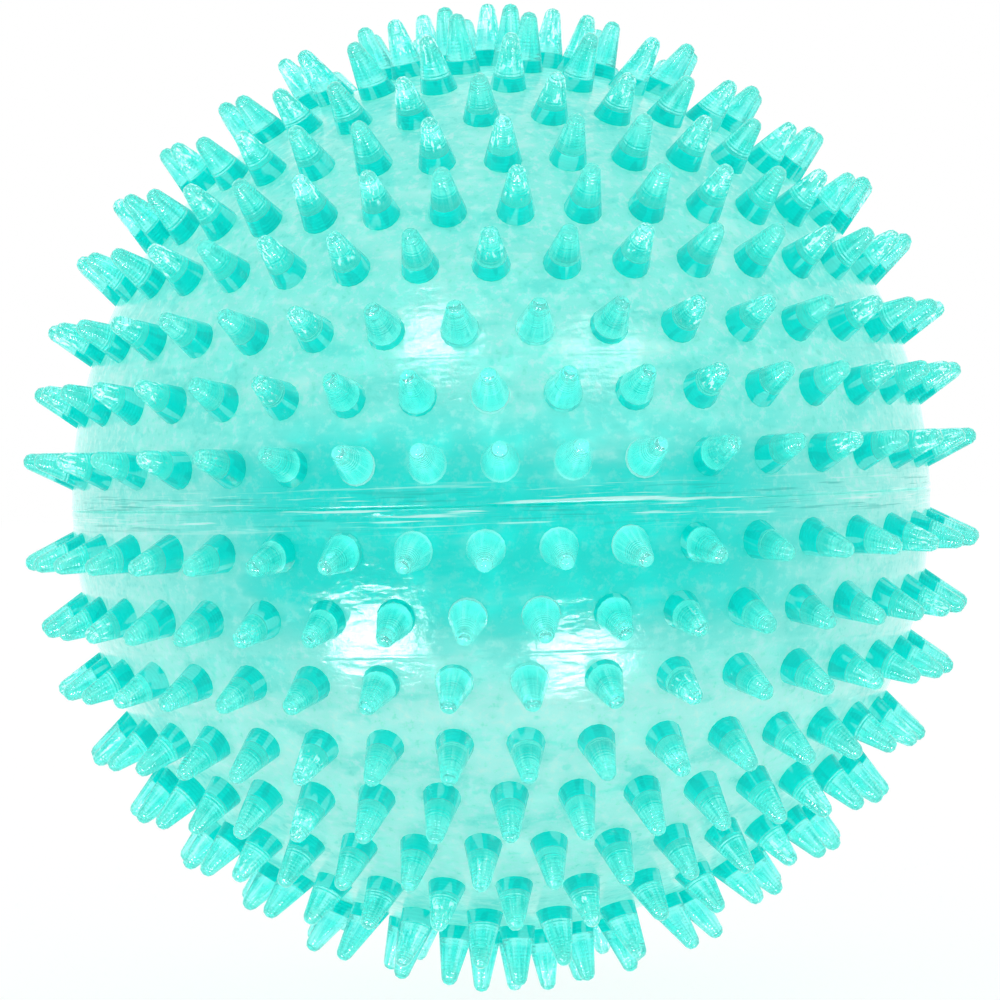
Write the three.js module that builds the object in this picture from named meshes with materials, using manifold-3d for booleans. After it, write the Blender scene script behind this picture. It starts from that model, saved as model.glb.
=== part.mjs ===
// Spiky dog ball: two welded half shells of soft rubber with leaning spikes, and a press-in squeaker at the back.
// Millimetres and degrees. The origin is the ball's centre, the poles lie on Z and the front faces -Y.
import * as THREE from "three";
import { mergeGeometries, mergeVertices } from "three/addons/utils/BufferGeometryUtils.js";
import Module from "manifold-3d";

const wasm = await Module();
wasm.setup();

// Shells
const BODY_RADIUS = 50;
const WALL = 5;
const WELD_LAND = 0.4;
const TONGUE_HEIGHT = 2;
const TONGUE_WALL_SHARE = 0.36;
const GAP = 0.3;

// Spikes
const SPIKE_BASE_RADIUS = 2.1;
const SPIKE_TIP_RADIUS = 0.65;
const SPIKE_ROOT_DEPTH = 1.2;
const SPIKE_MARGIN = 0.5;

// One row of spikes a line, from the weld to the pole. A spike stands at its row's latitude, its axis points at
// the latitude in lean, and turn is where the row's first spike sits round from the front, upper half then lower.
const ROWS = [
  { latitude: 4.7, lean: 15, height: 5.9, count: 41, turn: [0, -2] },
  { latitude: 12.9, lean: 23, height: 5.6, count: 40, turn: [-1, -4.5] },
  { latitude: 21.2, lean: 24, height: 6, count: 37, turn: [5, 3] },
  { latitude: 29.9, lean: 34, height: 6.3, count: 36, turn: [-0.5, 2.5] },
  { latitude: 38, lean: 43, height: 6.4, count: 34, turn: [3.5, 0] },
  { latitude: 47, lean: 45, height: 6.2, count: 30, turn: [2, -5] },
  { latitude: 56.7, lean: 46, height: 6, count: 23, turn: [-2, 0.5] },
  { latitude: 66.5, lean: 51, height: 7, count: 16, turn: [6, -9] },
  { latitude: 75.5, lean: 70, height: 6.8, count: 11, turn: [-14, 2] },
  { latitude: 82.3, lean: 81, height: 7.1, count: 6, turn: [20, -30] },
  { latitude: 90, lean: 90, height: 7.5, count: 1, turn: [0, 0] },
];

// Squeaker, lengths along its own axis
const SQUEAKER_LATITUDE = 38;
const FLANGE_RADIUS = 6.5;
const FLANGE_THICKNESS = 1.2;
const FLANGE_SINK = 0.25;
const NECK_RADIUS = 4.6;
const SPOT_FACE_SINK = 0.2;
const BARB_RADIUS = 6.2;
const BARB_THICKNESS = 1.4;
const BARREL_RADIUS = 5.4;
const BARREL_LENGTH = 7;
const BORE_RADIUS = 3.6;
const SOUND_PLATE = 1.3;
const SOUND_HOLE_RADIUS = 1.4;
const CAP_THICKNESS = 1.2;
const CAP_SKIRT = 0.9;
const CAP_SKIRT_SHARE = 0.55;
const CAP_HOLE_RADIUS = 2;
const CLAMP_LENGTH = 4;
const REED_WIDTH = 4;
const REED_THICKNESS = 0.3;
const REED_TIP_ROOM = 0.9;
const SEAT_FALL = 0.9;
const CHANNEL_WIDTH = 2.2;
const CHANNEL_FLOOR = 1.1;

// Facets
const SHELL_SIDES = 20;
const SHELL_INNER_BANDS = 5;
const SPIKE_SIDES = 5;
const SQUEAKER_SIDES = 12;

const radians = THREE.MathUtils.degToRad;
const UP = new THREE.Vector3(0, 1, 0);
const TETRAHEDRON_CORNER = new THREE.Vector3(1, 1, 1).normalize();

// Unit vector at a latitude, turned round from the front.
function direction(latitude, turn) {
  const out = Math.cos(radians(latitude));
  const x = out * Math.sin(radians(turn));
  const y = -out * Math.cos(radians(turn));
  return new THREE.Vector3(x, y, Math.sin(radians(latitude)));
}

// A three.js geometry as a solid that booleans can use.
function solid(geometry) {
  const bare = geometry.clone();
  bare.deleteAttribute("normal");
  bare.deleteAttribute("uv");
  const merged = mergeVertices(bare, 1e-4);
  const index = merged.index.array;
  const kept = [];
  for (let i = 0; i < index.length; i += 3) {
    const [a, b, c] = index.slice(i, i + 3);
    if (a !== b && b !== c && c !== a) kept.push(a, b, c);
  }
  const mesh = new wasm.Mesh({
    numProp: 3,
    vertProperties: merged.attributes.position.array,
    triVerts: new Uint32Array(kept),
  });
  return new wasm.Manifold(mesh);
}

function geometryOf(made) {
  const mesh = made.getMesh();
  const geometry = new THREE.BufferGeometry();
  geometry.setAttribute("position", new THREE.BufferAttribute(mesh.vertProperties, 3));
  geometry.setIndex(new THREE.BufferAttribute(mesh.triVerts, 1));
  return geometry;
}

// How much further out the corners of a flat-sided ring stand, for it to have the area of the round one.
function cornerScale(sides) {
  const share = (2 * Math.PI) / sides;
  return Math.sqrt(share / Math.sin(share));
}

// A profile of [radius, height] pairs turned about Z.
function turned(profile, sides) {
  const scale = cornerScale(sides);
  const points = profile.map(([radius, height]) => new THREE.Vector2(radius * scale, height));
  return new THREE.LatheGeometry(points, sides).rotateX(Math.PI / 2);
}

function closed(profile) {
  return [...profile, profile[0]];
}

// Where the shell's outer profile bends: midway between rows, so that no spike stands on a bend.
const bends = ROWS.slice(1, -1).map((row, i) => (row.latitude + ROWS[i].latitude) / 2);
const innerBends = Array.from({ length: SHELL_INNER_BANDS - 1 }, (_, i) => (90 * (i + 1)) / SHELL_INNER_BANDS);

const innerRadius = BODY_RADIUS - WALL;
const tongueMiddle = BODY_RADIUS - WALL / 2;
const tongueHalf = (WALL * TONGUE_WALL_SHARE) / 2;

// A half's profile from its inner pole by the rim to its outer pole. rim is the tongue or the groove.
function halfProfile(rim) {
  const onSphere = (radius, latitude) => [
    radius * Math.cos(radians(latitude)),
    WELD_LAND + radius * Math.sin(radians(latitude)),
  ];
  const inner = innerBends.map((latitude) => onSphere(innerRadius, latitude)).reverse();
  const outer = bends.map((latitude) => onSphere(BODY_RADIUS, latitude));
  return [
    [0, WELD_LAND + innerRadius],
    ...inner,
    [innerRadius, 0],
    [tongueMiddle - rim.half, 0],
    [tongueMiddle - rim.half, rim.height],
    [tongueMiddle + rim.half, rim.height],
    [tongueMiddle + rim.half, 0],
    [BODY_RADIUS, 0],
    ...outer,
    [0, WELD_LAND + BODY_RADIUS],
  ];
}

const recessRadius = FLANGE_RADIUS + GAP;
const squeakerAxis = direction(SQUEAKER_LATITUDE, 180);
const weldShift = new THREE.Vector3(0, 0, WELD_LAND);

// A spike before its tip is cut off: a cone from its root in the wall to a point, standing on Y.
function cone(height) {
  const taper = (SPIKE_BASE_RADIUS - SPIKE_TIP_RADIUS) / height;
  const root = (SPIKE_BASE_RADIUS + taper * SPIKE_ROOT_DEPTH) * cornerScale(SPIKE_SIDES);
  const profile = [
    new THREE.Vector2(0, -SPIKE_ROOT_DEPTH),
    new THREE.Vector2(root, -SPIKE_ROOT_DEPTH),
    new THREE.Vector2(0, SPIKE_BASE_RADIUS / taper),
  ];
  return new THREE.LatheGeometry(profile, SPIKE_SIDES);
}

// What cuts a cone's point off: a tetrahedron with one flat face across the spike at its height.
function tipCutter(height) {
  const size = 3 * SPIKE_BASE_RADIUS;
  const cutter = new THREE.TetrahedronGeometry(size);
  cutter.applyQuaternion(new THREE.Quaternion().setFromUnitVectors(TETRAHEDRON_CORNER, UP));
  return cutter.translate(0, height + size / 3, 0);
}

function nearSqueaker(foot) {
  if (foot.dot(squeakerAxis) < 0) return false;
  const off = foot.clone().cross(squeakerAxis).length();
  return off < recessRadius + SPIKE_BASE_RADIUS + SPIKE_MARGIN;
}

// Where each spike of one half stands, with its height. side is 1 for the upper half and -1 for the lower.
function stands(side) {
  const made = [];
  for (const row of ROWS) {
    const first = row.turn[side > 0 ? 0 : 1];
    for (let i = 0; i < row.count; i++) {
      const turn = first + (360 * i) / row.count;
      const foot = direction(side * row.latitude, turn).multiplyScalar(BODY_RADIUS);
      if (nearSqueaker(foot)) continue;
      const lean = new THREE.Quaternion().setFromUnitVectors(UP, direction(side * row.lean, turn));
      const place = new THREE.Matrix4().makeRotationFromQuaternion(lean);
      place.setPosition(foot.addScaledVector(weldShift, side));
      made.push({ place, height: row.height });
    }
  }
  return made;
}

// A half shell with its spikes. The tips come off after the join, which keeps the spikes' facets few.
function spiked(shell, side) {
  const all = stands(side);
  const cones = all.map(({ place, height }) => cone(height).applyMatrix4(place));
  const cutters = all.map(({ place, height }) => tipCutter(height).applyMatrix4(place));
  return shell.add(solid(mergeGeometries(cones))).subtract(solid(mergeGeometries(cutters)));
}

// Heights along the squeaker's axis, from the ball's centre
const flangeTop = Math.sqrt(BODY_RADIUS ** 2 - recessRadius ** 2) - FLANGE_SINK;
const flangeBottom = flangeTop - FLANGE_THICKNESS;
const recessFloor = flangeBottom - GAP;
const spotFace = innerRadius - SPOT_FACE_SINK;
const barbTop = spotFace - GAP;
const barbBottom = barbTop - BARB_THICKNESS;
const barrelEnd = barbBottom - BARREL_LENGTH;
const plateBottom = flangeTop - SOUND_PLATE;
const capInside = barrelEnd - GAP;
const capEnd = capInside - CAP_THICKNESS;
const skirtTop = capInside + BARREL_LENGTH * CAP_SKIRT_SHARE;
const skirtInside = BARREL_RADIUS + GAP;
const blockRadius = BORE_RADIUS - GAP;
const blockTop = plateBottom - GAP;
const clampTop = barrelEnd + CLAMP_LENGTH;
const reedRoot = barrelEnd + GAP;
const reedTip = blockTop - REED_TIP_ROOM;
const faceOff = REED_THICKNESS / 2 + GAP;

const squeaker = new THREE.Group();
squeaker.name = "squeaker";
squeaker.position.copy(weldShift);
squeaker.rotation.x = radians(SQUEAKER_LATITUDE - 90);
squeaker.updateMatrix();

// The stepped hole for the squeaker: spot face inside, hole through the wall, recess outside.
function squeakerHole() {
  const profile = [
    [0, capEnd],
    [recessRadius, capEnd],
    [recessRadius, spotFace],
    [NECK_RADIUS + GAP, spotFace],
    [NECK_RADIUS + GAP, recessFloor],
    [recessRadius, recessFloor],
    [recessRadius, BODY_RADIUS + WALL],
    [0, BODY_RADIUS + WALL],
  ];
  return solid(turned(profile, SQUEAKER_SIDES).applyMatrix4(squeaker.matrix));
}

function upperHalf() {
  const shell = solid(turned(halfProfile({ half: tongueHalf, height: -TONGUE_HEIGHT }), SHELL_SIDES));
  return geometryOf(spiked(shell, 1).subtract(squeakerHole()));
}

function lowerHalf() {
  const rim = { half: tongueHalf + GAP, height: TONGUE_HEIGHT + GAP };
  const shell = solid(turned(halfProfile(rim), SHELL_SIDES).rotateX(Math.PI));
  return geometryOf(spiked(shell, -1));
}

function housing() {
  const profile = closed([
    [SOUND_HOLE_RADIUS, plateBottom],
    [BORE_RADIUS, plateBottom],
    [BORE_RADIUS, barrelEnd],
    [BARREL_RADIUS, barrelEnd],
    [BARREL_RADIUS, barbBottom],
    [BARB_RADIUS, barbTop],
    [NECK_RADIUS, barbTop],
    [NECK_RADIUS, flangeBottom],
    [FLANGE_RADIUS, flangeBottom],
    [FLANGE_RADIUS, flangeTop],
    [SOUND_HOLE_RADIUS, flangeTop],
  ]);
  return geometryOf(solid(turned(profile, SQUEAKER_SIDES)));
}

function cap() {
  const profile = closed([
    [CAP_HOLE_RADIUS, capEnd],
    [skirtInside + CAP_SKIRT, capEnd],
    [skirtInside + CAP_SKIRT, skirtTop],
    [skirtInside, skirtTop],
    [skirtInside, capInside],
    [CAP_HOLE_RADIUS, capInside],
  ]);
  return geometryOf(solid(turned(profile, SQUEAKER_SIDES)));
}

function roundBlock(top) {
  const length = top - barrelEnd;
  const round = new THREE.CylinderGeometry(blockRadius, blockRadius, length, SQUEAKER_SIDES);
  return solid(round.rotateX(Math.PI / 2).translate(0, 0, barrelEnd + length / 2));
}

// The seat is level under the clamped root, then falls away from the reed, with the air channel down its middle.
function seat() {
  const room = blockRadius + 1;
  const side = new THREE.Shape([
    new THREE.Vector2(barrelEnd - 1, -faceOff),
    new THREE.Vector2(clampTop, -faceOff),
    new THREE.Vector2(blockTop, -faceOff - SEAT_FALL),
    new THREE.Vector2(blockTop + 1, -faceOff - SEAT_FALL),
    new THREE.Vector2(blockTop + 1, room),
    new THREE.Vector2(barrelEnd - 1, room),
  ]);
  const above = new THREE.ExtrudeGeometry(side, { depth: 2 * room, bevelEnabled: false });
  above.rotateY(-Math.PI / 2).translate(room, 0, 0);
  const channel = new THREE.BoxGeometry(CHANNEL_WIDTH, blockRadius, 2 * (blockTop - barrelEnd));
  channel.translate(0, CHANNEL_FLOOR - blockRadius / 2, (barrelEnd + blockTop) / 2);
  return geometryOf(roundBlock(blockTop).subtract(solid(above)).subtract(solid(channel)));
}

function clamp() {
  const below = new THREE.BoxGeometry(2 * BORE_RADIUS, 2 * BORE_RADIUS, 4 * CLAMP_LENGTH);
  below.translate(0, faceOff - BORE_RADIUS, clampTop);
  return geometryOf(roundBlock(clampTop).subtract(solid(below)));
}

function reed() {
  const length = reedTip - reedRoot;
  const strip = new THREE.BoxGeometry(REED_WIDTH, REED_THICKNESS, length);
  return geometryOf(solid(strip.translate(0, 0, reedRoot + length / 2)));
}

function piece(name, geometry, color, roughness) {
  const material = new THREE.MeshStandardMaterial({ color, roughness, metalness: 0, flatShading: true });
  const mesh = new THREE.Mesh(geometry, material);
  mesh.name = name;
  return mesh;
}

const ball = new THREE.Group();
ball.name = "spiky_dog_ball";
ball.add(piece("upper_half", upperHalf(), 0x62dcd0, 0.35));
ball.add(piece("lower_half", lowerHalf(), 0x57d4c8, 0.35));
squeaker.add(piece("squeaker_housing", housing(), 0xf2f0ea, 0.45));
squeaker.add(piece("reed_seat", seat(), 0xe6e4dc, 0.5));
squeaker.add(piece("reed_clamp", clamp(), 0xdcdad2, 0.5));
squeaker.add(piece("squeaker_reed", reed(), 0xc9b98a, 0.4));
squeaker.add(piece("squeaker_cap", cap(), 0xf2f0ea, 0.45));
ball.add(squeaker);

export default ball;
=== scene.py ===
"""Spiky dog ball in clear teal rubber, on a white studio sweep. Metres, in the CAD model's frame."""

import math

import bmesh
import bpy
from mathutils import Matrix, Vector


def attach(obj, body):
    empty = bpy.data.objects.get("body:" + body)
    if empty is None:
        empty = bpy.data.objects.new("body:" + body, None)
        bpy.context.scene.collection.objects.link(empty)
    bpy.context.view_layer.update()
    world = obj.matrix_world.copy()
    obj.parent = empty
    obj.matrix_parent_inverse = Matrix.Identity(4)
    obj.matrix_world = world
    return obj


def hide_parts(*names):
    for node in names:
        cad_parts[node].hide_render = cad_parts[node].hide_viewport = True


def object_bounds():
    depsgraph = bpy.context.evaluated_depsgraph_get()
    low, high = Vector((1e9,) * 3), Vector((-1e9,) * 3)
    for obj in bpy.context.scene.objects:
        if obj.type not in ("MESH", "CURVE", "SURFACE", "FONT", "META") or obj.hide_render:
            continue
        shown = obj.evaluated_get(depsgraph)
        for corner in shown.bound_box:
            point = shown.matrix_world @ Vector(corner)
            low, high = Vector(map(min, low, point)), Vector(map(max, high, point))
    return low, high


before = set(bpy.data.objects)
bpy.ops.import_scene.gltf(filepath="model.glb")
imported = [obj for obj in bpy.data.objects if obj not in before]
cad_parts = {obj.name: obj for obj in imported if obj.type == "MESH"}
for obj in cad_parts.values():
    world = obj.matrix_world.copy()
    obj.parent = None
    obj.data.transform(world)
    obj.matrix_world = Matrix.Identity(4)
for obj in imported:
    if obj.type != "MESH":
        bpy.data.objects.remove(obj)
cad_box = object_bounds()

MM = 0.001

# Shell, mm and degrees
BODY_RADIUS = 50.0
WALL = 5.0
WELD_LAND = 0.4
SHELL_STEPS = 144
PROFILE_STEP = 2.5
PARTING_LATITUDE = 17.8
PARTING_WIDTH = 0.18
PARTING_HEIGHT = 0.05
WELD_BEAD = 0.08
WELD_BEAD_LOW = 0.2
WELD_BEAD_HIGH = 0.5
WELD_BEAD_START = 0.75
WELD_STRAIGHT = 1.0
RIM_SETBACK = 0.05
RIM_GAP = 0.02
INNER_STEP = 5.0

# Spikes, mm
SPIKE_BASE_RADIUS = 2.1
SPIKE_TIP_RADIUS = 0.78
SPIKE_TIP_ROUND = 0.66
SPIKE_SIDES = 16
SPIKE_LIFT = 0.03
TOP_SHARE = 0.99
FOOT_HEIGHT = 1e-4
SEED_STEP = 0.618034
LOWER_SEED_SHARE = 0.6

# Material slots of a half
SPIKE_SLOT = 1
FOOT_SLOT = 2

# latitude, lean (the latitude that the axis points at), height in mm, count, first turn of the upper half,
# first turn of the lower half, share of the height that the deep band at the foot takes up
ROWS = (
    (4.7, 15.0, 5.9, 41, 0.0, -2.0, 0.34),
    (12.9, 23.0, 5.6, 40, -1.0, -4.5, 0.34),
    (21.2, 24.0, 6.0, 37, 5.0, 3.0, 0.31),
    (29.9, 34.0, 6.3, 36, -0.5, 2.5, 0.27),
    (38.0, 43.0, 6.4, 34, 3.5, 0.0, 0.28),
    (47.0, 45.0, 6.2, 30, 2.0, -5.0, 0.27),
    (56.7, 46.0, 6.0, 23, -2.0, 0.5, 0.25),
    (66.5, 51.0, 7.0, 16, 6.0, -9.0, 0.22),
    (75.5, 70.0, 6.8, 11, -14.0, 2.0, 0.2),
    (82.3, 81.0, 7.1, 6, 20.0, -30.0, 0.2),
    (90.0, 90.0, 7.5, 1, 0.0, 0.0, 0.2),
)
BARE_BAND = -0.08
BARE_FACING = 0.95
BANDED_FACING = 0.82
BAND_SPREAD = 0.06
BAND_EDGE = 0.014
RIM_HIGHLIGHT_CORE = 0.04
RIM_HIGHLIGHT_EDGE = 0.12
TOOL_RINGS = 16.5
TOOL_RING_DEPTH = 0.1
SEED_SPREAD = 40.0

# Patterns of a spike, repeats per radius sideways and per height upwards
STREAK_SCALE = (4.0, 4.0, 0.6)
FLECK_SCALE = (3.2, 3.2, 6.5)
WINDOW_SCALE = (1.7, 1.7, 1.6)

# Patterns of the wall, the foot, the plastic and the paper, mm
BELT_CLOUD = (25.0, 25.0, 11.0)
BELT_RAGGED = 14.0
BELT_OFFSET = -3.5
BELT_CORE = 5.0
BELT_EDGE = 19.0
# The belt fades from BELT_FRONT to BELT_SIDE sideways, down to BELT_SIDE_SHARE: a painted edge sheen
BELT_FRONT = 20.0
BELT_SIDE = 44.0
BELT_SIDE_SHARE = 0.12
PALE_BOTTOM = -12.0
PALE_TOP = 20.0
BLOTCH_SIZE = (9.0, 9.0, 3.0)
BLOTCH_DEPTH = 0.6
SPECK_SIZE = 1.1
SPECK_DEPTH = 0.3
BUBBLE_SIZE = 2.4
SCUFF_SIZE = (17.0, 17.0, 0.53)
SCUFF_CORE = 0.8
SCUFF_EDGE = 3.2
FOOT_CLOUD = 3.3
FLOW_SIZE = 3.8
FLOW_DEPTH = 0.2
PAPER_GRAIN = 11.0

# Squeaker, mm along its own axis from the ball's centre
SQUEAKER_LATITUDE = 38.0
FLANGE_RADIUS = 6.5
FLANGE_TOP = 49.29
FLANGE_BOTTOM = 48.09
NECK_RADIUS = 4.6
BARB_RADIUS = 6.2
BARB_TOP = 44.5
BARB_BOTTOM = 43.1
BARREL_RADIUS = 5.4
BARREL_END = 36.1
BORE_RADIUS = 3.6
PLATE_BOTTOM = 47.99
SOUND_HOLE_RADIUS = 1.4
CAP_INSIDE = 35.8
CAP_END = 34.6
CAP_SKIRT_INSIDE = 5.7
CAP_SKIRT_OUTSIDE = 6.6
CAP_SKIRT_TOP = 39.65
CAP_HOLE_RADIUS = 2.0
FIT_GAP = 0.3
SPIKE_CLEAR = 9.4
SLEEVE_ROUND = 0.2
CAP_ROUND = 0.15
SHARP_ANGLE = 40.0
SQUEAKER_STEPS = 64

# Looks
RUBBER_IOR = 1.45
ABS_IOR = 1.53
PET_IOR = 1.57
WHITE = (1.0, 1.0, 1.0, 1.0)
STUDIO_LEVEL = 0.74
PAPER_LIT = "767676"
PAPER_GLOW = 0.87

# Kinds of node
ATTRIBUTE = "ShaderNodeAttribute"
BUMP = "ShaderNodeBump"
MAPPING = "ShaderNodeMapping"
MATH = "ShaderNodeMath"
MIX = "ShaderNodeMix"
NOISE = "ShaderNodeTexNoise"
PRINCIPLED = "ShaderNodeBsdfPrincipled"
RANGE = "ShaderNodeMapRange"
SMOOTH = "SMOOTHSTEP"

# Studio, metres: direction to each softbox, width, height, watts
FLOOR_SIZE = 3.0
FLOOR_GAP = 0.0005
SOFTBOX_DISTANCE = 0.9
SOFTBOXES = (
    ("lower_left", (-0.53, -0.69, -0.51), 0.33, 0.23, 8.5),
    ("lower_right", (0.29, -0.71, -0.59), 0.32, 0.20, 7.0),
    ("upper_left", (-0.25, -0.72, 0.64), 0.22, 0.20, 3.2),
    ("upper_right", (0.43, -0.70, 0.57), 0.26, 0.22, 1.6),
)

# Photo camera, metres, degrees, and mm for the lens and the sensor
CAMERA_DISTANCE = 0.440
CAMERA_ELEVATION = 0.9
CAMERA_ROLL = 1.6
CAMERA_LENS = 135.0
CAMERA_SENSOR = 36.0
CAMERA_CLIP = 0.01
CAMERA_SHIFT = (-0.0012, -0.002)


def direction(latitude, turn):
    """Unit vector at a latitude, turned round from the front."""
    out = math.cos(math.radians(latitude))
    angle = math.radians(turn)
    return Vector((out * math.sin(angle), -out * math.cos(angle), math.sin(math.radians(latitude))))


def rgb(code):
    """Linear colour of a hex sRGB code."""
    channels = [int(code[i : i + 2], 16) / 255 for i in (0, 2, 4)]
    linear = [c / 12.92 if c <= 0.04045 else ((c + 0.055) / 1.055) ** 2.4 for c in channels]
    return (*linear, 1.0)


def per_mm(*sizes):
    """Pattern scale along X, Y and Z for features of these sizes in mm."""
    return [1.0 / (size * MM) for size in sizes]


def new_object(name, bm, materials):
    mesh = bpy.data.meshes.new(name)
    bm.to_mesh(mesh)
    bm.free()
    for material in materials:
        mesh.materials.append(material)
    obj = bpy.data.objects.new(name, mesh)
    bpy.context.scene.collection.objects.link(obj)
    return obj


def new_material(name):
    material = bpy.data.materials.new(name)
    material.use_nodes = True
    material.node_tree.nodes.clear()
    return material, material.node_tree


def add(tree, kind, **values):
    """Adds one shader node.

    A key is a setting of the node, a socket's name with _ for a space, or i and a socket's number.
    A value is a number, a colour, another node's output, or a node, which gives its first output in use.
    """
    made = tree.nodes.new(kind)
    for key, value in values.items():
        if hasattr(made, key):
            setattr(made, key, value)
            continue
        socket = made.inputs[int(key[1:]) if key[1:].isdigit() else key.replace("_", " ")]
        if isinstance(value, bpy.types.Node):
            value = next(output for output in value.outputs if output.enabled)
        if isinstance(value, bpy.types.NodeSocket):
            tree.links.new(value, socket)
        else:
            socket.default_value = value
    return made


def wall_material():
    """Moulded teal TPR of the wall, cloudy because the eye looks through it into the hollow.

    To the eye it is pale aqua with broad clouds and fine specks, deeper on a belt round the weld, and
    wet-looking, with scuffs that run along the weld. The belt pales towards the left and right, a painted
    edge sheen, and the colour also glows, a painted glow that stands in for light passing through the
    rubber.
    """
    material, tree = new_material("cloudy moulded teal TPR")
    place = add(tree, "ShaderNodeTexCoord").outputs["Object"]
    axes = add(tree, "ShaderNodeSeparateXYZ", Vector=place)
    height = axes.outputs["Z"]
    far = add(tree, MATH, operation="ABSOLUTE", i0=height)
    # The belt, with a ragged edge, deepest at the front and the back; towards the left and right it pales,
    # a painted edge sheen
    spread = add(tree, MAPPING, Vector=place, Scale=per_mm(*BELT_CLOUD))
    cloud = add(tree, NOISE, Vector=spread, Scale=1.0, Detail=4.0, Roughness=0.62)
    ragged = add(tree, MATH, operation="MULTIPLY_ADD", i0=cloud, i1=BELT_RAGGED * MM, i2=BELT_OFFSET * MM)
    shifted = add(tree, MATH, operation="ADD", i0=height, i1=ragged)
    belt = add(tree, MATH, operation="ABSOLUTE", i0=shifted)
    on_belt = add(
        tree, RANGE, interpolation_type=SMOOTH, Value=belt, From_Min=BELT_EDGE * MM, From_Max=BELT_CORE * MM
    )
    sideways = add(tree, MATH, operation="ABSOLUTE", i0=axes.outputs["X"])
    edge_sheen_fade = add(
        tree,
        RANGE,
        interpolation_type=SMOOTH,
        Value=sideways,
        From_Min=BELT_SIDE * MM,
        From_Max=BELT_FRONT * MM,
        To_Min=BELT_SIDE_SHARE,
    )
    on_belt = add(tree, MATH, operation="MULTIPLY", i0=on_belt, i1=edge_sheen_fade)
    upward = add(
        tree,
        RANGE,
        interpolation_type=SMOOTH,
        Value=height,
        From_Min=PALE_BOTTOM * MM,
        From_Max=PALE_TOP * MM,
    )
    pale = add(tree, MIX, data_type="RGBA", i0=upward, i6=rgb("acf2ea"), i7=rgb("8aeee4"))
    colour = add(tree, MIX, data_type="RGBA", i0=on_belt, i6=pale, i7=rgb("04dcd2"))
    # Clouds, fine specks and small bubbles, weaker on the belt
    strength = add(tree, RANGE, Value=on_belt, To_Min=1.0, To_Max=0.2)
    spread = add(tree, MAPPING, Vector=place, Scale=per_mm(*BLOTCH_SIZE))
    blotch = add(tree, NOISE, Vector=spread, Scale=1.0, Detail=3.0, Roughness=0.6)
    speck = add(tree, NOISE, Vector=place, Scale=per_mm(SPECK_SIZE)[0], Detail=4.0, Roughness=0.65)
    bubble = add(tree, NOISE, Vector=place, Scale=per_mm(BUBBLE_SIZE)[0], Detail=2.0, Roughness=0.6)
    for pattern, low, high, most, tint in (
        (blotch, 0.5, 0.3, 0.5, "3ce0d5"),
        (blotch, 0.5, 0.75, 0.55, "ccfaf4"),
        (speck, 0.48, 0.7, 0.45, "d8fcf7"),
        (speck, 0.44, 0.3, 0.4, "52d6ca"),
        (bubble, 0.63, 0.72, 0.35, "34e0d4"),
    ):
        share = add(
            tree, RANGE, interpolation_type=SMOOTH, Value=pattern, From_Min=low, From_Max=high, To_Max=most
        )
        share = add(tree, MATH, operation="MULTIPLY", i0=share, i1=strength)
        colour = add(tree, MIX, data_type="RGBA", i0=share, i6=colour, i7=rgb(tint))
    # Scuffs near the weld: fine light and dark streaks that run round the ball
    spread = add(tree, MAPPING, Vector=place, Scale=per_mm(*SCUFF_SIZE))
    streak = add(tree, NOISE, Vector=spread, Scale=1.0, Detail=3.0, Roughness=0.65)
    near = add(
        tree,
        RANGE,
        interpolation_type=SMOOTH,
        Value=far,
        From_Min=SCUFF_CORE * MM,
        From_Max=SCUFF_EDGE * MM,
        To_Min=1.0,
        To_Max=0.0,
    )
    for low, high, most, tint in ((0.56, 0.66, 0.7, "e2fffa"), (0.44, 0.36, 0.6, "12b8ae")):
        share = add(
            tree, RANGE, interpolation_type=SMOOTH, Value=streak, From_Min=low, From_Max=high, To_Max=most
        )
        share = add(tree, MATH, operation="MULTIPLY", i0=share, i1=near)
        colour = add(tree, MIX, data_type="RGBA", i0=share, i6=colour, i7=rgb(tint))
    grain = add(tree, BUMP, Strength=0.16, Distance=SPECK_DEPTH * MM, Height=speck)
    waves = add(tree, BUMP, Strength=0.3, Distance=BLOTCH_DEPTH * MM, Height=blotch, Normal=grain)
    # The emission is a painted glow that stands in for light passing through the rubber
    shader = add(
        tree,
        PRINCIPLED,
        Base_Color=colour,
        Roughness=0.1,
        IOR=RUBBER_IOR,
        Specular_IOR_Level=0.35,
        Emission_Color=colour,
        Emission_Strength=0.235,
        Normal=waves,
    )
    add(tree, "ShaderNodeOutputMaterial", Surface=shader)
    return material


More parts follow.
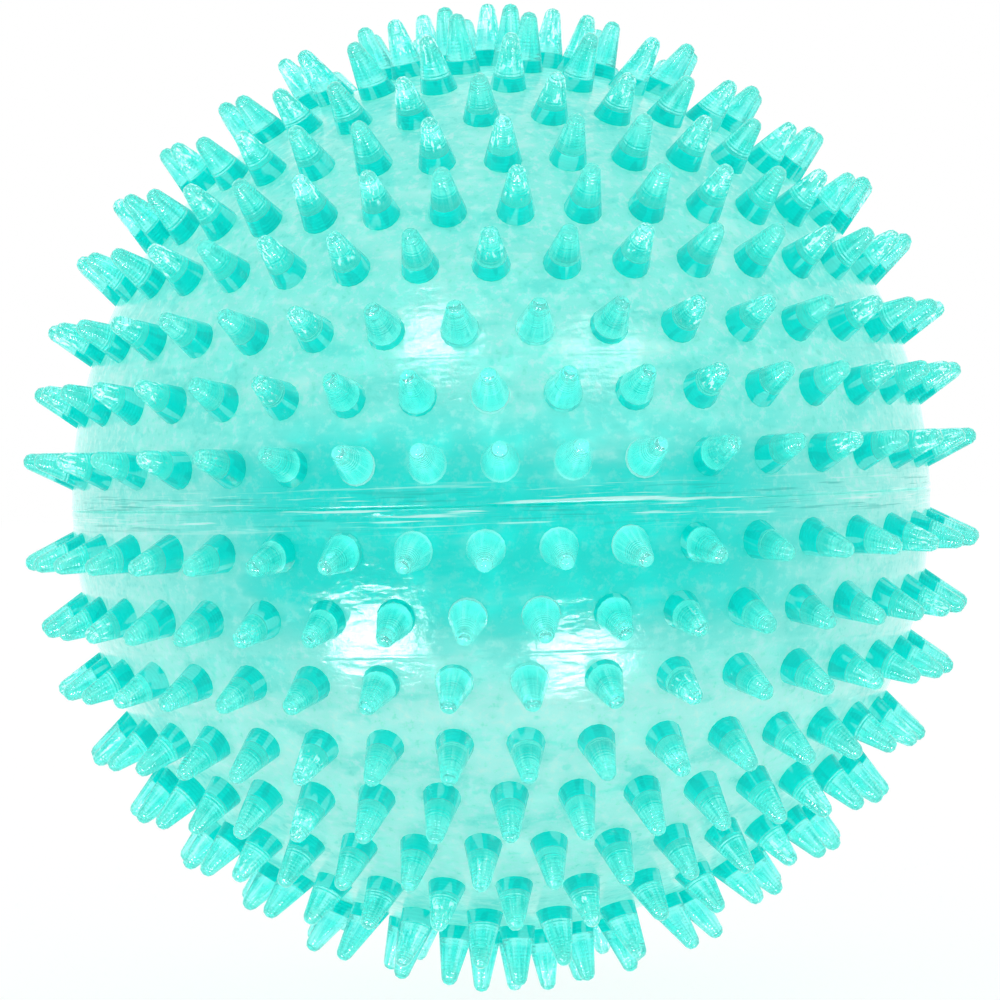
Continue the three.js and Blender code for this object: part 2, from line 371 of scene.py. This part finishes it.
def spike_material():
    """Moulded teal TPR of the spikes, clear because a spike is thin.

    To the eye it is glassy: a deep band at the foot with softer windows in it, the light ones painted
    reflections, a pale neck over the band, and white flecks that are painted glints, soft streaks that
    paint light and shade along the spike, and fine tool rings up to the tip. A spike that points straight
    at the front or the back has a light rim at the foot, a painted highlight, in place of the band. The
    colour also glows, a painted glow. Pattern sizes are shares of the spike's radius and height.
    """
    material, tree = new_material("clear moulded teal TPR")
    place = add(tree, ATTRIBUTE, attribute_name="spike_place").outputs["Vector"]
    seed = add(tree, ATTRIBUTE, attribute_name="spike_seed").outputs["Fac"]
    band = add(tree, ATTRIBUTE, attribute_name="spike_band").outputs["Fac"]
    up = add(tree, "ShaderNodeSeparateXYZ", Vector=place).outputs["Z"]
    edge = add(tree, MATH, operation="MULTIPLY_ADD", i0=seed, i1=BAND_SPREAD, i2=band)
    over = add(tree, MATH, operation="SUBTRACT", i0=up, i1=edge)
    above = add(tree, RANGE, interpolation_type=SMOOTH, Value=over, From_Min=-BAND_EDGE, From_Max=BAND_EDGE)
    apart = add(tree, MATH, operation="MULTIPLY", i0=seed, i1=SEED_SPREAD)
    # Lengthwise streaks that paint light and shade along the spike, flecks where the tool's chatter marks
    # catch the light, which give the painted glints, and windows in the band, whose light ones are painted
    # reflections
    spread = add(tree, MAPPING, Vector=place, Location=apart, Scale=STREAK_SCALE)
    streak = add(tree, NOISE, Vector=spread, Scale=1.0, Detail=2.0, Roughness=0.6)
    spread = add(tree, MAPPING, Vector=place, Location=apart, Scale=FLECK_SCALE)
    fleck = add(tree, NOISE, Vector=spread, Scale=1.0, Detail=2.0, Roughness=0.6)
    spread = add(tree, MAPPING, Vector=place, Location=apart, Scale=WINDOW_SCALE)
    window = add(tree, NOISE, Vector=spread, Scale=1.0, Detail=0.0)
    # Clear part over the band
    toward_tip = add(tree, RANGE, interpolation_type=SMOOTH, Value=up, From_Min=0.3, From_Max=0.95)
    clear = add(tree, MIX, data_type="RGBA", i0=toward_tip, i6=rgb("5ceae2"), i7=rgb("98f5ee"))
    # The light and dark streaks paint the light and shade along the spike
    for pattern, low, high, most, tint in (
        (streak, 0.52, 0.68, 0.6, "d8fdfa"),
        (streak, 0.47, 0.34, 0.55, "12d4cc"),
        (fleck, 0.42, 0.35, 0.45, "0cccc6"),
        (over, 0.17, 0.1, 0.6, "98f4ec"),
    ):
        share = add(
            tree, RANGE, interpolation_type=SMOOTH, Value=pattern, From_Min=low, From_Max=high, To_Max=most
        )
        clear = add(tree, MIX, data_type="RGBA", i0=share, i6=clear, i7=rgb(tint))
    # White glints, on about half of the spikes that have a band
    glint = add(
        tree, RANGE, interpolation_type=SMOOTH, Value=fleck, From_Min=0.56, From_Max=0.64, To_Max=0.85
    )
    for limit, low, high in ((over, 0.08, 0.2), (band, 0.1, 0.2), (seed, 0.35, 0.65)):
        allowed = add(tree, RANGE, interpolation_type=SMOOTH, Value=limit, From_Min=low, From_Max=high)
        glint = add(tree, MATH, operation="MULTIPLY", i0=glint, i1=allowed)
    clear = add(tree, MIX, data_type="RGBA", i0=glint, i6=clear, i7=rgb("f4fffe"))
    # Deep band
    deep = rgb("00d9d1")
    # The light windows in the band are painted reflections of the softboxes
    for low, high, most, tint in ((0.6, 0.68, 0.35, "a8f6f0"), (0.42, 0.36, 0.45, "00bcb8")):
        share = add(
            tree, RANGE, interpolation_type=SMOOTH, Value=window, From_Min=low, From_Max=high, To_Max=most
        )
        deep = add(tree, MIX, data_type="RGBA", i0=share, i6=deep, i7=rgb(tint))
    colour = add(tree, MIX, data_type="RGBA", i0=above, i6=deep, i7=clear)
    # Painted rim highlight at the foot of the spikes without a band
    bare = add(tree, RANGE, interpolation_type=SMOOTH, Value=band, From_Min=0.06, From_Max=0.0)
    rim_highlight_share = add(
        tree,
        RANGE,
        interpolation_type=SMOOTH,
        Value=up,
        From_Min=RIM_HIGHLIGHT_EDGE,
        From_Max=RIM_HIGHLIGHT_CORE,
        To_Min=0.1,
        To_Max=0.85,
    )
    rim = add(tree, MATH, operation="MULTIPLY", i0=bare, i1=rim_highlight_share)
    colour = add(tree, MIX, data_type="RGBA", i0=rim, i6=colour, i7=rgb("dcfdfa"))
    # Tool rings
    phase = add(tree, MATH, operation="MULTIPLY", i0=up, i1=2 * math.pi * TOOL_RINGS)
    wave = add(tree, MATH, operation="SINE", i0=phase)
    rings = add(tree, BUMP, Strength=0.2, Distance=TOOL_RING_DEPTH * MM, Height=wave)
    # The painted glints are made less clear, so they read as solid white
    solid = add(tree, RANGE, Value=glint, To_Min=0.84, To_Max=0.4)
    clearness = add(tree, MATH, operation="MULTIPLY_ADD", i0=above, i1=solid, i2=0.03)
    # Painted glow, strongest in the band and stronger on the painted glints
    glow = add(tree, RANGE, Value=above, To_Min=0.28, To_Max=0.1)
    glow = add(tree, MATH, operation="MULTIPLY_ADD", i0=glint, i1=0.4, i2=glow)
    shader = add(
        tree,
        PRINCIPLED,
        Base_Color=colour,
        Roughness=0.08,
        IOR=RUBBER_IOR,
        Specular_IOR_Level=0.2,
        Transmission_Weight=clearness,
        Emission_Color=colour,
        Emission_Strength=glow,
        Normal=rings,
    )
    add(tree, "ShaderNodeOutputMaterial", Surface=shader)
    return material


def foot_material():
    """Wall rubber under a spike. To the eye it is the pale disc that shows through the clear spike."""
    material, tree = new_material("pale moulded teal TPR")
    place = add(tree, "ShaderNodeTexCoord").outputs["Object"]
    cloud = add(tree, NOISE, Vector=place, Scale=per_mm(FOOT_CLOUD)[0], Detail=2.0)
    share = add(tree, RANGE, interpolation_type=SMOOTH, Value=cloud, From_Min=0.35, From_Max=0.65)
    colour = add(tree, MIX, data_type="RGBA", i0=share, i6=rgb("7cefe6"), i7=rgb("a0f5ee"))
    # The emission is a painted glow
    shader = add(
        tree, PRINCIPLED, Base_Color=colour, Roughness=0.5, Emission_Color=colour, Emission_Strength=0.15
    )
    add(tree, "ShaderNodeOutputMaterial", Surface=shader)
    return material


def plastic_material(name, low, high, roughness, ior):
    """Moulded plastic of the squeaker. To the eye it is plain, with faint flow marks from the mould."""
    material, tree = new_material(name)
    place = add(tree, "ShaderNodeTexCoord").outputs["Object"]
    flow = add(tree, NOISE, Vector=place, Scale=per_mm(FLOW_SIZE)[0], Detail=3.0, Roughness=0.55)
    share = add(tree, RANGE, interpolation_type=SMOOTH, Value=flow, From_Min=0.3, From_Max=0.7)
    colour = add(tree, MIX, data_type="RGBA", i0=share, i6=rgb(low), i7=rgb(high))
    bump = add(tree, BUMP, Strength=0.1, Distance=FLOW_DEPTH * MM, Height=flow)
    shader = add(tree, PRINCIPLED, Base_Color=colour, Roughness=roughness, IOR=ior, Normal=bump)
    add(tree, "ShaderNodeOutputMaterial", Surface=shader)
    return material


def paper_material():
    """Matt white paper of the sweep. To the eye it is white, with the ball's soft shadow on it."""
    material, tree = new_material("matt white paper")
    path = add(tree, "ShaderNodeLightPath")
    place = add(tree, "ShaderNodeTexCoord").outputs["Object"]
    grain = add(tree, NOISE, Vector=place, Scale=per_mm(PAPER_GRAIN)[0], Detail=2.0)
    colour = add(tree, MIX, data_type="RGBA", i0=grain, i6=rgb("f4f4f4"), i7=rgb("fbfbfb"))
    matt = add(tree, "ShaderNodeBsdfDiffuse", Color=colour)
    # To the camera the paper is part lit by the studio, which leaves the shadow, and part plain white
    lit = add(tree, "ShaderNodeBsdfDiffuse", Color=rgb(PAPER_LIT))
    glow = add(tree, "ShaderNodeEmission", Color=WHITE, Strength=PAPER_GLOW)
    shadowed = add(tree, "ShaderNodeAddShader", i0=lit, i1=glow)
    shader = add(tree, "ShaderNodeMixShader", i0=path.outputs["Is Camera Ray"], i1=matt, i2=shadowed)
    mirrored = add(
        tree,
        MATH,
        operation="MAXIMUM",
        i0=path.outputs["Is Glossy Ray"],
        i1=path.outputs["Is Transmission Ray"],
    )
    white = add(tree, "ShaderNodeEmission", Color=WHITE, Strength=1.0)
    shader = add(tree, "ShaderNodeMixShader", i0=mirrored, i1=shader, i2=white)
    add(tree, "ShaderNodeOutputMaterial", Surface=shader)
    return material


def lathe(bm, profile, steps):
    """Spins a profile of (radius, height) pairs in mm about Z, and closes it on the axis or on itself."""
    points = [bm.verts.new((radius * MM, 0.0, height * MM)) for radius, height in profile]
    edges = [bm.edges.new(pair) for pair in zip(points, points[1:])]
    bmesh.ops.spin(
        bm,
        geom=points + edges,
        cent=(0.0, 0.0, 0.0),
        axis=(0.0, 0.0, 1.0),
        dvec=(0.0, 0.0, 0.0),
        angle=2 * math.pi,
        steps=steps,
        use_merge=True,
    )
    bmesh.ops.remove_doubles(bm, verts=bm.verts, dist=1e-6)
    bmesh.ops.recalc_face_normals(bm, faces=bm.faces)


def on_sphere(radius, latitude):
    angle = math.radians(latitude)
    return (radius * math.cos(angle), WELD_LAND + radius * math.sin(angle))


def shell_profile():
    """One half's profile: outer pole, parting line, weld bead, rim, inner wall, inner pole."""
    ridge = math.degrees(PARTING_WIDTH / BODY_RADIUS)
    plain = [PROFILE_STEP * i for i in range(1, int(90 / PROFILE_STEP) + 1)]
    outer = [(latitude, 0.0) for latitude in plain if abs(latitude - PARTING_LATITUDE) > 3 * ridge]
    outer += [(PARTING_LATITUDE + off * ridge, 0.0) for off in (-2, -1, 1, 2)]
    outer.append((PARTING_LATITUDE, PARTING_HEIGHT))
    profile = [on_sphere(BODY_RADIUS + rise, latitude) for latitude, rise in sorted(outer, reverse=True)]
    profile += [
        (BODY_RADIUS, WELD_STRAIGHT),
        (BODY_RADIUS, WELD_BEAD_START),
        (BODY_RADIUS + WELD_BEAD, WELD_BEAD_HIGH),
        (BODY_RADIUS + WELD_BEAD, WELD_BEAD_LOW),
        (BODY_RADIUS - RIM_SETBACK, RIM_GAP),
    ]
    inner = BODY_RADIUS - WALL
    profile.append((inner, RIM_GAP))
    profile += [on_sphere(inner, INNER_STEP * (i + 1)) for i in range(int(90 / INNER_STEP))]
    profile[0] = (0.0, profile[0][1])
    profile[-1] = (0.0, profile[-1][1])
    return profile


def spike_template(height):
    """One closed spike in mm that stands on Z, with its sideways place and height share stored on it."""
    bm = bmesh.new()
    bmesh.ops.create_cone(
        bm,
        cap_ends=True,
        segments=SPIKE_SIDES,
        radius1=SPIKE_BASE_RADIUS,
        radius2=SPIKE_TIP_RADIUS,
        depth=height,
        matrix=Matrix.Translation((0.0, 0.0, height / 2)),
    )
    rim = [e for e in bm.edges if all(v.co.z > height * TOP_SHARE for v in e.verts)]
    bmesh.ops.bevel(
        bm,
        geom=rim,
        offset=SPIKE_TIP_ROUND,
        offset_type="OFFSET",
        segments=2,
        profile=0.5,
        affect="EDGES",
        material=-1,
    )
    place = bm.verts.layers.float_vector.new("spike_place")
    for v in bm.verts:
        share = v.co.z / height
        reach = SPIKE_BASE_RADIUS + (SPIKE_TIP_RADIUS - SPIKE_BASE_RADIUS) * share
        v[place] = Vector((v.co.x / reach, v.co.y / reach, share))
    for f in bm.faces:
        on_foot = all(v.co.z < FOOT_HEIGHT for v in f.verts)
        f.material_index = FOOT_SLOT if on_foot else SPIKE_SLOT
        f.smooth = len(f.verts) == 4
    mesh = bpy.data.meshes.new("spike_template")
    bm.to_mesh(mesh)
    bm.free()
    return mesh


def add_spikes(bm, side, away):
    """All the spikes of one half. away is the squeaker's axis, which has no spike round it, or None."""
    seed_layer = bm.verts.layers.float.new("spike_seed")
    band_layer = bm.verts.layers.float.new("spike_band")
    number = 0
    for latitude, lean, height, count, upper, lower, band in ROWS:
        template = spike_template(height)
        first = upper if side > 0 else lower
        for i in range(count):
            number += 1
            turn = first + 360.0 * i / count
            normal = direction(side * latitude, turn)
            foot = normal * (BODY_RADIUS + SPIKE_LIFT)
            if away is not None and foot.dot(away) > 0 and foot.cross(away).length < SPIKE_CLEAR:
                continue
            foot = foot + Vector((0.0, 0.0, side * WELD_LAND))
            axis = direction(side * lean, turn)
            across = axis.cross(direction(0.0, turn + 90.0)).normalized()
            along = across.cross(axis).normalized()
            # The lower half's seeds are scaled down, which leaves fewer of its spikes with painted glints
            seed = (number * SEED_STEP) % 1.0 * (1.0 if side > 0 else LOWER_SEED_SHARE)
            # A spike that points straight at the front or the back shows the pale wall under it, no band,
            # and the spike material paints a rim highlight at its foot
            facing = (abs(axis.y) - BANDED_FACING) / (BARE_FACING - BANDED_FACING)
            bare = min(max(facing, 0.0), 1.0)
            start = len(bm.verts)
            bm.from_mesh(template)
            bm.verts.ensure_lookup_table()
            for v in bm.verts[start:]:
                # The foot is sloped to lie on the ball, the tip stays square to the axis
                sideways = along * v.co.x + across * v.co.y
                slope = -sideways.dot(normal) / axis.dot(normal) * (1.0 - v.co.z / height)
                v.co = (foot + sideways + axis * (v.co.z + slope)) * MM
                v[seed_layer] = seed
                v[band_layer] = band + (BARE_BAND - band) * bare
        bpy.data.meshes.remove(template)


def squeaker_frame():
    return Matrix.Translation((0.0, 0.0, WELD_LAND * MM)) @ Matrix.Rotation(
        math.radians(SQUEAKER_LATITUDE - 90.0), 4, "X"
    )


def half(name, side, materials):
    """One half ball with its spikes. The upper half has the squeaker's stepped hole."""
    bm = bmesh.new()
    lathe(bm, shell_profile(), SHELL_STEPS)
    if side < 0:
        bmesh.ops.transform(bm, matrix=Matrix.Rotation(math.pi, 4, "X"), verts=bm.verts)
    shell = new_object(name, bm, materials)
    away = None
    if side > 0:
        away = direction(SQUEAKER_LATITUDE, 180.0)
        cut_squeaker_hole(shell)
    bm = bmesh.new()
    bm.from_mesh(shell.data)
    for f in bm.faces:
        f.smooth = True
    add_spikes(bm, side, away)
    bm.to_mesh(shell.data)
    bm.free()
    return shell


def cut_squeaker_hole(shell):
    """Cuts the recess, the neck hole and the room for the squeaker out of a shell."""
    recess = FLANGE_RADIUS + FIT_GAP
    profile = [
        (0.0, CAP_END),
        (recess, CAP_END),
        (recess, BARB_TOP + FIT_GAP),
        (NECK_RADIUS + FIT_GAP, BARB_TOP + FIT_GAP),
        (NECK_RADIUS + FIT_GAP, FLANGE_BOTTOM - FIT_GAP),
        (recess, FLANGE_BOTTOM - FIT_GAP),
        (recess, BODY_RADIUS + WALL),
        (0.0, BODY_RADIUS + WALL),
    ]
    bm = bmesh.new()
    lathe(bm, profile, SQUEAKER_STEPS)
    bmesh.ops.transform(bm, matrix=squeaker_frame(), verts=bm.verts)
    cutter = new_object("hole_cutter", bm, [])
    modifier = shell.modifiers.new("squeaker hole", "BOOLEAN")
    modifier.operation = "DIFFERENCE"
    modifier.solver = "EXACT"
    modifier.object = cutter
    bpy.context.view_layer.update()
    made = shell.evaluated_get(bpy.context.evaluated_depsgraph_get())
    cut = bpy.data.meshes.new_from_object(made)
    shell.modifiers.clear()
    old = shell.data
    shell.data = cut
    bpy.data.meshes.remove(old)
    bpy.data.objects.remove(cutter)


def turned_piece(name, profile, material, bevel):
    """A turned piece of the squeaker, with softened edges."""
    bm = bmesh.new()
    lathe(bm, profile + profile[:1], SQUEAKER_STEPS)
    sharp = [e for e in bm.edges if e.is_manifold and e.calc_face_angle() > math.radians(SHARP_ANGLE)]
    bmesh.ops.bevel(
        bm,
        geom=sharp,
        offset=bevel * MM,
        offset_type="OFFSET",
        segments=2,
        profile=0.5,
        affect="EDGES",
        material=-1,
    )
    bmesh.ops.transform(bm, matrix=squeaker_frame(), verts=bm.verts)
    for f in bm.faces:
        f.smooth = True
    return new_object(name, bm, [material])


rubber = [wall_material(), spike_material(), foot_material()]
white_plastic = plastic_material("moulded white ABS", "dedcd4", "f4f2ec", 0.35, ABS_IOR)
reed_film = plastic_material("amber PET film", "c2ad74", "d8c794", 0.3, PET_IOR)

for name, side in (("upper_half", 1), ("lower_half", -1)):
    piece = half("rubber_" + name, side, rubber)
    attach(piece, "ball")
    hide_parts(name)

housing = turned_piece(
    "squeaker_sleeve",
    [
        (SOUND_HOLE_RADIUS, PLATE_BOTTOM),
        (BORE_RADIUS, PLATE_BOTTOM),
        (BORE_RADIUS, BARREL_END),
        (BARREL_RADIUS, BARREL_END),
        (BARREL_RADIUS, BARB_BOTTOM),
        (BARB_RADIUS, BARB_TOP),
        (NECK_RADIUS, BARB_TOP),
        (NECK_RADIUS, FLANGE_BOTTOM),
        (FLANGE_RADIUS, FLANGE_BOTTOM),
        (FLANGE_RADIUS, FLANGE_TOP),
        (SOUND_HOLE_RADIUS, FLANGE_TOP),
    ],
    white_plastic,
    SLEEVE_ROUND,
)
cap = turned_piece(
    "squeaker_end_cap",
    [
        (CAP_HOLE_RADIUS, CAP_END),
        (CAP_SKIRT_OUTSIDE, CAP_END),
        (CAP_SKIRT_OUTSIDE, CAP_SKIRT_TOP),
        (CAP_SKIRT_INSIDE, CAP_SKIRT_TOP),
        (CAP_SKIRT_INSIDE, CAP_INSIDE),
        (CAP_HOLE_RADIUS, CAP_INSIDE),
    ],
    white_plastic,
    CAP_ROUND,
)
for piece, node in ((housing, "squeaker_housing"), (cap, "squeaker_cap")):
    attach(piece, "ball")
    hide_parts(node)

for node, material in (
    ("reed_seat", white_plastic),
    ("reed_clamp", white_plastic),
    ("squeaker_reed", reed_film),
):
    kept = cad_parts[node]
    kept.data.materials.clear()
    kept.data.materials.append(material)

# Studio: a white floor under the lowest spike, white walls of light, and four softboxes round the camera
bm = bmesh.new()
bmesh.ops.create_grid(bm, x_segments=1, y_segments=1, size=FLOOR_SIZE)
bmesh.ops.translate(bm, verts=bm.verts, vec=(0.0, 0.0, cad_box[0][2] - FLOOR_GAP))
floor = new_object("studio_floor", bm, [paper_material()])
floor.visible_shadow = False
floor.visible_glossy = False

world = bpy.data.worlds.new("white studio")
bpy.context.scene.world = world
world.use_nodes = True
world.node_tree.nodes.clear()
tree = world.node_tree
path = add(tree, "ShaderNodeLightPath")
seen = add(
    tree,
    MATH,
    operation="MAXIMUM",
    i0=path.outputs["Is Camera Ray"],
    i1=path.outputs["Is Transmission Ray"],
)
seen = add(tree, MATH, operation="MAXIMUM", i0=seen, i1=path.outputs["Is Glossy Ray"])
level = add(tree, MATH, operation="MAXIMUM", i0=seen, i1=STUDIO_LEVEL)
background = add(tree, "ShaderNodeBackground", Color=WHITE, Strength=level)
add(tree, "ShaderNodeOutputWorld", Surface=background)

for name, toward, width, depth, watts in SOFTBOXES:
    data = bpy.data.lights.new("softbox_" + name, "AREA")
    data.shape = "RECTANGLE"
    data.size = width
    data.size_y = depth
    data.energy = watts
    lamp = bpy.data.objects.new("softbox_" + name, data)
    aim = Vector(toward).normalized()
    lamp.location = aim * SOFTBOX_DISTANCE
    lamp.visible_diffuse = False
    lamp.rotation_euler = aim.to_track_quat("Z", "Y").to_euler()
    bpy.context.scene.collection.objects.link(lamp)

# The photo's camera
tilt = math.radians(CAMERA_ELEVATION)
roll = math.radians(CAMERA_ROLL)
back = Vector((0.0, -math.cos(tilt), math.sin(tilt)))
level_right = Vector((1.0, 0.0, 0.0))
level_up = Vector((0.0, math.sin(tilt), math.cos(tilt)))
camera_right = level_right * math.cos(roll) - level_up * math.sin(roll)
camera_up = level_up * math.cos(roll) + level_right * math.sin(roll)
camera_data = bpy.data.cameras.new("photo_camera")
camera_data.sensor_width = CAMERA_SENSOR
camera_data.lens = CAMERA_LENS
camera_data.shift_x, camera_data.shift_y = CAMERA_SHIFT
camera_data.clip_start = CAMERA_CLIP
camera = bpy.data.objects.new("photo_camera", camera_data)
turn = Matrix((camera_right, camera_up, back)).transposed().to_4x4()
camera.matrix_world = Matrix.Translation(back * CAMERA_DISTANCE) @ turn
bpy.context.scene.collection.objects.link(camera)
bpy.context.scene.camera = camera
bpy.context.scene.view_settings.view_transform = "Standard"

bpy.context.view_layer.update()
